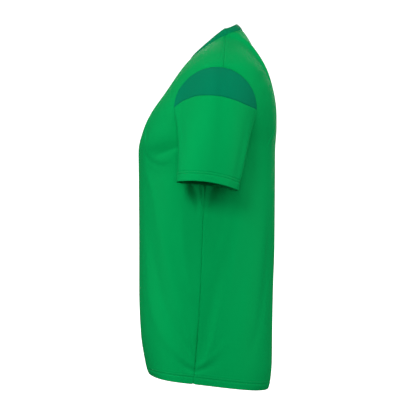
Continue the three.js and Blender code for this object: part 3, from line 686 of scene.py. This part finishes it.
# What each seam faces: halfway between the pieces that meet there.
NECK_X = TIP[0] * np.concatenate([-neck_columns[:0:-1], neck_columns])
ON_NECK = np.abs(PANEL_COLUMNS) < NECK_SHARE + 1e-9
FIRST_CHEST = len(LOWER_ROWS) - 1
PLAIN = {facing: plain_panel(facing) for facing in (-1, 1)}
BAND, BAND_NORMALS = plain_band()
seam_angles, seam_faces = [], []
for facing in (-1, 1):
    angle = armhole_angle(facing, np.concatenate([[0], CHEST_ROWS]))
    root, near = (sleeve_points(angle, np.full(angle.shape, t)) for t in (0, 0.02))
    around = armhole_point(angle + 0.5) - armhole_point(angle - 0.5)
    sleeve_faces = unit(np.cross(around, near - root))
    seam_angles.append(angle)
    seam_faces.append(unit(PLAIN[facing][1][FIRST_CHEST:, -1] + sleeve_faces))
order = np.argsort(np.concatenate(seam_angles))
SEAM_ANGLES, SEAM_FACES = np.concatenate(seam_angles)[order], np.concatenate(seam_faces)[order]


def armhole_faces(angle):
    return unit(np.stack([np.interp(angle, SEAM_ANGLES, SEAM_FACES[:, axis]) for axis in range(3)], axis=-1))


def turned_to(normals, faces, away):
    """Normals that turn to what a seam faces, close to it."""
    return unit(normals + (faces - normals) * np.exp(-((away / SEAM_TURN) ** 2))[..., None])


def allowance(edge, inner, faces, under, depth=1.0):
    """Rows of cloth turned in from a seam, the nearest first. under is 1 where they go below the other's."""
    beyond = unit(edge - inner)
    beyond = unit(beyond - faces * (beyond * faces).sum(axis=-1, keepdims=True))
    under, depth = (np.broadcast_to(value, edge.shape[:1])[:, None] for value in (under, depth))
    rows = [lerp(over, below, under) * depth for over, below in zip(OVER, UNDER)]
    return np.array([edge - faces * row[:, :1] + beyond * row[:, 1:] for row in rows])


def panel_grid(facing):
    grid, normals = PLAIN[facing]
    other = PLAIN[-facing][1]
    across, along = lengths(grid, 1), lengths(grid, 0)
    from_side = np.minimum(across, across[:, -1:] - across)
    from_top = along[-1:] - along
    side_faces = {edge: unit(normals[:, edge] + other[:, edge]) for edge in (0, -1)}
    armhole = armhole_faces(armhole_angle(facing, np.concatenate([[0], CHEST_ROWS])))
    for edge, mirror in ((0, -1), (-1, 1)):
        side_faces[edge][FIRST_CHEST:] = armhole * (mirror, 1, 1)
    top_faces = unit(normals[-1] + other[-1])
    count = len(NECK_X)
    nape = [0, *range(len(BAND_NORMALS[0]) - 1, count - 1, -1), count - 1]
    round_neck = list(range(count)) if facing < 0 else nape
    top_faces[ON_NECK] = unit(normals[-1][ON_NECK] + BAND_NORMALS[0, round_neck])
    on_right = (np.arange(len(PANEL_COLUMNS)) < len(PANEL_COLUMNS) // 2)[None, :, None]
    nearest = np.where(on_right, side_faces[0][:, None], side_faces[-1][:, None])
    normals = turned_to(turned_to(normals, nearest, from_side), top_faces[None], from_top)
    for edge in (0, -1):
        normals[:-1, edge] = side_faces[edge][:-1]
    free = np.ones(grid.shape[:2])
    free[FIRST_CHEST:] = 1 - np.abs(PANEL_COLUMNS) ** SEAM_STILL
    turn = turn_of(facing, grid)
    lift = body_lift(turn, grid[..., 2]) * free
    dip = seam_dip(np.minimum(from_side, from_top))
    if facing > 0:
        lift[:FIRST_CHEST] += pressed_allowance(from_side)[:FIRST_CHEST]
        lift += pressed_allowance(from_top) * ~ON_NECK
    lift += dip + hem_relief(along, from_side + grid[..., 0], BODY_HEM, BODY_PULL)
    lift -= HEM_CURL * np.exp(-along / HEM_CURL_HEIGHT) * smoothstep(np.abs(np.abs(turn) - 90), 15, 60)
    grid = grid + normals * lift[..., None]
    grid[..., 2] += NOTCH * np.exp(-((from_side / NOTCH_WIDTH) ** 2) - along / HEM_CURL_HEIGHT)
    held = smoothstep(along[:, 0], BODY_HEM, BODY_HEM + 3)
    for edge, inner in ((0, 1), (-1, -2)):
        grid[:, edge] += unit(grid[:, inner] - grid[:, edge]) * SEAM_GAP * held[:, None]
    grid[-1] += unit(grid[-2] - grid[-1]) * SEAM_GAP
    return grid, normals, side_faces, top_faces, np.maximum(held, 0.05)


def hem_relief(from_edge, around, depth, pulls):
    """A hem stands up from the single cloth above it, and its stitching pulls it in, in small ripples."""
    step = HEM_STEP * (1 - smoothstep(from_edge, depth, depth + HEM_STEP_WIDTH))
    pull = 0
    for row, deep in zip(STITCH_ROWS, pulls):
        pull = pull + deep * np.exp(-(((from_edge - depth + 1 + row) / PULL_WIDTH) ** 2))
    fade = np.exp(-(((from_edge - depth + 6) / 7) ** 2))
    ripple = 0.14 * np.sin(around / 2.1 + 1.3 * np.sin(around / 31)) * fade
    return step - pull + ripple


def row_at(grid, from_edge):
    """The points of a grid's row that lies nearest to a distance above its first row."""
    return int(np.argmin(np.abs(lengths(grid, 0).mean(axis=1) - from_edge)))


def at_length(place, along, values):
    """The values of a line, such as its points, at one place along it."""
    return np.array([np.interp(place, along, values[:, axis]) for axis in range(3)])


def stitching(name, lines, finish, closed=False):
    """Rows of single stitches along lines of points, each with the cloth's normals there."""
    shape = bmesh.new()
    for line, normals in lines:
        if closed:
            line, normals = np.concatenate([line, line[:1]]), np.concatenate([normals, normals[:1]])
        along = np.concatenate([[0], np.cumsum(np.linalg.norm(np.diff(line, axis=0), axis=1))])
        count = int(along[-1] / (STITCH + STITCH_GAP))
        for k in range(count):
            ends = [at_length((k + share) * along[-1] / count, along, line) for share in STITCH_ENDS]
            normal = at_length((k + 0.5) * along[-1] / count, along, normals)
            run = Vector(ends[1] - ends[0])
            side = Vector(normal).cross(run).normalized()
            up = run.cross(side).normalized()
            middle = Vector((ends[0] + ends[1]) / 2) + up * STITCH_LIFT
            turn = Matrix((run.normalized(), side, up)).transposed().to_4x4()
            size = Matrix.Diagonal((run.length / 2, THREAD, THREAD * 0.8, 1))
            bmesh.ops.create_icosphere(shape, subdivisions=1, radius=1,
                                       matrix=Matrix.Scale(MM, 4) @ Matrix.Translation(middle) @ turn @ size)
    piece = into_scene(name, shape, finish)
    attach(piece, "root")
    return piece


def hem_lines(grid, normals, depth):
    rows = [row_at(grid, depth - 1 - row) for row in STITCH_ROWS]
    return [(grid[row], normals[row]) for row in rows]


for name, facing in (("front_panel", -1), ("back_panel", 1)):
    grid, normals, side_faces, top_faces, depth = panel_grid(facing)
    hemmed = with_hem(grid, normals, row_at(grid, BODY_HEM), HEM_TURN)
    below = len(hemmed) - len(grid)
    beside = []
    depth = np.concatenate([np.full(below, 0.02), depth])
    for edge, inner in ((0, 1), (-1, -2)):
        faces = np.concatenate([np.repeat(side_faces[edge][:1], below, axis=0), side_faces[edge]])
        under = 1 if facing < 0 else np.arange(len(hemmed)) > below + FIRST_CHEST
        rows = allowance(hemmed[:, edge], hemmed[:, inner], faces, under, depth)
        beside.append(np.swapaxes(rows, 0, 1))
    whole = np.concatenate([beside[0][:, ::-1], hemmed, beside[1]], axis=1)
    count = len(OVER)
    first, last = (np.repeat(top_faces[end], count, axis=0) for end in (slice(None, 1), slice(-1, None)))
    faces = np.concatenate([first, top_faces, last])
    under = np.concatenate([np.zeros(count), (facing < 0) & ~ON_NECK, np.zeros(count)])
    whole = np.concatenate([whole, allowance(whole[-1], whole[-2], faces, under)])
    cloth(name, whole, False, BODY_KNIT, (0, -35, -350))
    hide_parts(name)
    hem = name.split("_")[0] + "_hem_stitching"
    stitching(hem, hem_lines(grid, normals, BODY_HEM), BODY_THREAD)
    if facing > 0:
        down = row_at(grid[::-1], NECK_STITCH)
        line, lifted = grid[-1 - down][ON_NECK], normals[-1 - down][ON_NECK]
        hem = "back_neck_stitching"
        stitching(hem, [(line, lifted)], BODY_THREAD)

# The sleeves' columns, from the underarm round the front to the top and down the back.
SLEEVE_COLUMNS = np.concatenate([
    np.linspace(UNDERARM_ANGLE, TIP_ANGLE, 66)[:-1],
    np.linspace(TIP_ANGLE, UNDERARM_ANGLE - 360, 68)[:-1],
])
SLEEVE_ROWS = 52


def sleeve_lift(angle, t, right):
    turn = wrapped(angle)
    folds = [[(*station[:3], station[3] * right) for station in fold] for fold in SLEEVE_FOLDS]
    lift = fold_lift(turn * SLEEVE_STEP, t * SLEEVE_LENGTH, folds, (SLEEVE_STEP, SLEEVE_LENGTH))
    return lift * smoothstep(t, 0, SLEEVE_STILL)


def sleeve_grid(mirror):
    """A sleeve from its hem up to its seams with the body and the cap."""
    angle = SLEEVE_COLUMNS
    under_cap = np.abs(wrapped(angle)) < CAP_REACH
    start = np.where(under_cap, cap_share(angle), 0)
    fine = np.linspace(0, 1, 240)[:, None] * (1 - start) + start
    line = sleeve_points(np.broadcast_to(angle, fine.shape), fine)
    along = lengths(line, 0)
    whole = along[-1]
    hem = np.arange(HEM_ROWS) * HEM_ROW
    rest = np.linspace(0, 1, SLEEVE_ROWS)[1:, None]
    hem_up = np.broadcast_to(hem[:, None], (HEM_ROWS, len(angle)))
    up = np.concatenate([hem_up, hem[-1] + (whole - hem[-1]) * rest])
    t = [np.interp(whole[j] - up[:, j], along[:, j], fine[:, j]) for j in range(len(angle))]
    t = np.stack(t, axis=1)
    grid = relaxed(sleeve_points(np.broadcast_to(angle, t.shape), t), True, SLEEVE_EASE)
    away = lengths(grid, 0)
    normals = normals_of(grid, True, 1)
    faces = np.where(under_cap[:, None], normals[-1], armhole_faces(angle))
    normals = turned_to(normals, faces[None], away[-1:] - away)
    lift = sleeve_lift(angle, t, 1 if mirror > 0 else RIGHT_SLEEVE) + seam_dip(away[-1:] - away)
    lift += hem_relief(away, lengths(grid, 1), SLEEVE_HEM, SLEEVE_PULL)
    grid = grid + normals * lift[..., None]
    grid[-1] += unit(grid[-2] - grid[-1]) * SEAM_GAP
    return grid * (mirror, 1, 1), normals * (mirror, 1, 1), faces * (mirror, 1, 1)


def cap_grid(mirror):
    angle = np.linspace(CAP_REACH, -CAP_REACH, 110)
    t = np.linspace(0, 1, 26)[:, None] * cap_share(angle)
    grid = sleeve_points(np.broadcast_to(angle, t.shape), t)
    own = -normals_of(grid, False, 1)
    along = lengths(grid, 0)
    faces = armhole_faces(angle)
    normals = turned_to(own, faces[None], along)
    lift = sleeve_lift(angle, t, 1) + seam_dip(np.minimum(along, along[-1:] - along))
    grid = grid + normals * lift[..., None]
    top, bottom = allowance(grid[0], grid[1], faces, 0), allowance(grid[-1], grid[-2], own[-1], 1)
    return np.concatenate([top[::-1], grid, bottom]) * (mirror, 1, 1)


for side, mirror in (("left", 1), ("right", -1)):
    grid, normals, faces = sleeve_grid(mirror)
    hemmed = with_hem(grid, normals, row_at(grid, SLEEVE_HEM), HEM_TURN)
    hemmed = np.concatenate([hemmed, allowance(hemmed[-1], hemmed[-2], faces, 0)])
    middle = (mirror * 225, -33, -220)
    sleeve, hem, cap = f"sleeve_{side}", f"sleeve_{side}_hem_stitching", f"shoulder_cap_{side}"
    cloth(sleeve, hemmed, True, BODY_KNIT, middle)
    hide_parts(sleeve)
    stitching(hem, hem_lines(grid, normals, SLEEVE_HEM), BODY_THREAD, True)
    middle = (mirror * 190, -20, -170)
    cloth(cap, cap_grid(mirror), False, CONTRAST_KNIT, middle)
    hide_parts(cap)


def band_grid():
    """The neckband: down its inside, over its folded edge, down its outside to the seam and in."""
    up = lengths(BAND, 0)
    front, back = (PLAIN[facing][1][-1][ON_NECK] for facing in (-1, 1))
    faces = unit(BAND_NORMALS[0] + np.concatenate([front, back[-2:0:-1]]))
    normals = turned_to(BAND_NORMALS, faces[None], up)
    share = up / up[-1:]
    mitre = V_SEAM_DIP * seam_dip(BAND[..., 0]) / SEAM_DIP * (BAND[..., 1] < 0)
    lift = BAND_CROWN * np.sin(np.pi * share) + seam_dip(up) + mitre
    grid = BAND + normals * lift[..., None]
    turned = with_hem(grid[::-1], normals[::-1], len(grid) - 1, BAND_TURN)
    return np.concatenate([turned, allowance(turned[-1], turned[-2], faces, 1)])


cloth("neckband", band_grid(), True, NECK_RIB, (0, -15, -200))
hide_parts("neckband")

# A plain pale floor, far enough down for somebody to stand on under the jersey, which sweeps up into a
# round wall. It doesn't throw its light back on the cloth.
FLOOR, WALL_TOP, FLAT_RADIUS, SWEEP = -1.45, 7.0, 8.5, 3.0
shape = bmesh.new()
profile = [shape.verts.new((0, 0, FLOOR)), shape.verts.new((FLAT_RADIUS, 0, FLOOR))]
for degrees in range(10, 91, 10):
    turn = math.radians(degrees)
    out, up = FLAT_RADIUS + SWEEP * math.sin(turn), FLOOR + SWEEP * (1 - math.cos(turn))
    profile.append(shape.verts.new((out, 0, up)))
profile.append(shape.verts.new((FLAT_RADIUS + SWEEP, 0, WALL_TOP)))
edges = [shape.edges.new(pair) for pair in zip(profile, profile[1:])]
bmesh.ops.spin(shape, geom=profile + edges, cent=(0, 0, 0), axis=(0, 0, 1),
               angle=2 * math.pi, steps=72, use_merge=True)
bmesh.ops.remove_doubles(shape, verts=shape.verts, dist=1e-4)
bmesh.ops.recalc_face_normals(shape, faces=shape.faces)
paint = surface("floor_paint", Base_Color=(0.9, 0.9, 0.9, 1), Roughness=0.9,
                Emission_Color=(1, 1, 1, 1), Emission_Strength=1.0)
floor = into_scene("floor", shape, paint.owner)
floor.visible_diffuse = floor.visible_glossy = floor.visible_shadow = False


def softbox(name, place, aim, size, power):
    light = bpy.data.lights.new(name, "AREA")
    light.shape, light.size, light.energy = "SQUARE", size, power
    lamp = bpy.data.objects.new(name, light)
    bpy.context.scene.collection.objects.link(lamp)
    lamp.location = place
    lamp.rotation_euler = (Vector(aim) - Vector(place)).to_track_quat("-Z", "Y").to_euler()


softbox("key", (3.0, -0.85, 0.9), (0, 0, -0.3), 0.8, 54)
softbox("side", (3.3, 0, 0), (0, 0, -0.35), 0.8, 25)
softbox("front", (0.3, -3.3, 0.1), (0, 0, -0.35), 1.2, 46)
softbox("back", (0.3, 3.3, 0.1), (0, 0, -0.35), 1.2, 60)
softbox("far", (-3.0, 0.2, 0.6), (0, 0, -0.3), 1.7, 24)

# Light from all round, strongest level with the jersey and weak from below.
# Its rows are height, from 0 below to 1 above, and strength.
SKY = ((0.0, 0.01), (0.42, 0.03), (0.5, 0.07), (0.62, 0.09), (1.0, 0.12))
studio = Finish(bpy.data.worlds.new("studio"), "Background")
bpy.context.scene.world = studio.owner
ways = studio.node("ShaderNodeTexCoord", output="Generated")
level = studio.node("ShaderNodeSeparateXYZ", {}, {0: ways}, "Z") * 0.5 + 0.5
ramp = studio.node("ShaderNodeValToRGB", {}, {"Fac": level})
stops = ramp.socket.node.color_ramp.elements
for stop, (place, strength) in zip([*stops, *[stops.new(p) for p, _ in SKY[2:]]], SKY):
    stop.position, stop.color = place, (strength, strength, strength, 1)
studio.put(ramp, studio.shader.inputs["Color"])
bpy.context.scene.view_settings.view_transform = "Standard"

# The camera stands on the wearer's left, level with the middle of the jersey.
CAMERA_PLACE, LENS, SENSOR = (3.2, -0.034, -0.336), 138.5, 36
camera = bpy.data.objects.new("camera", bpy.data.cameras.new("camera"))
bpy.context.scene.collection.objects.link(camera)
camera.location = CAMERA_PLACE
camera.rotation_euler = (math.radians(90), 0, math.radians(90))
camera.data.lens = LENS
camera.data.sensor_width = SENSOR
bpy.context.scene.camera = camera
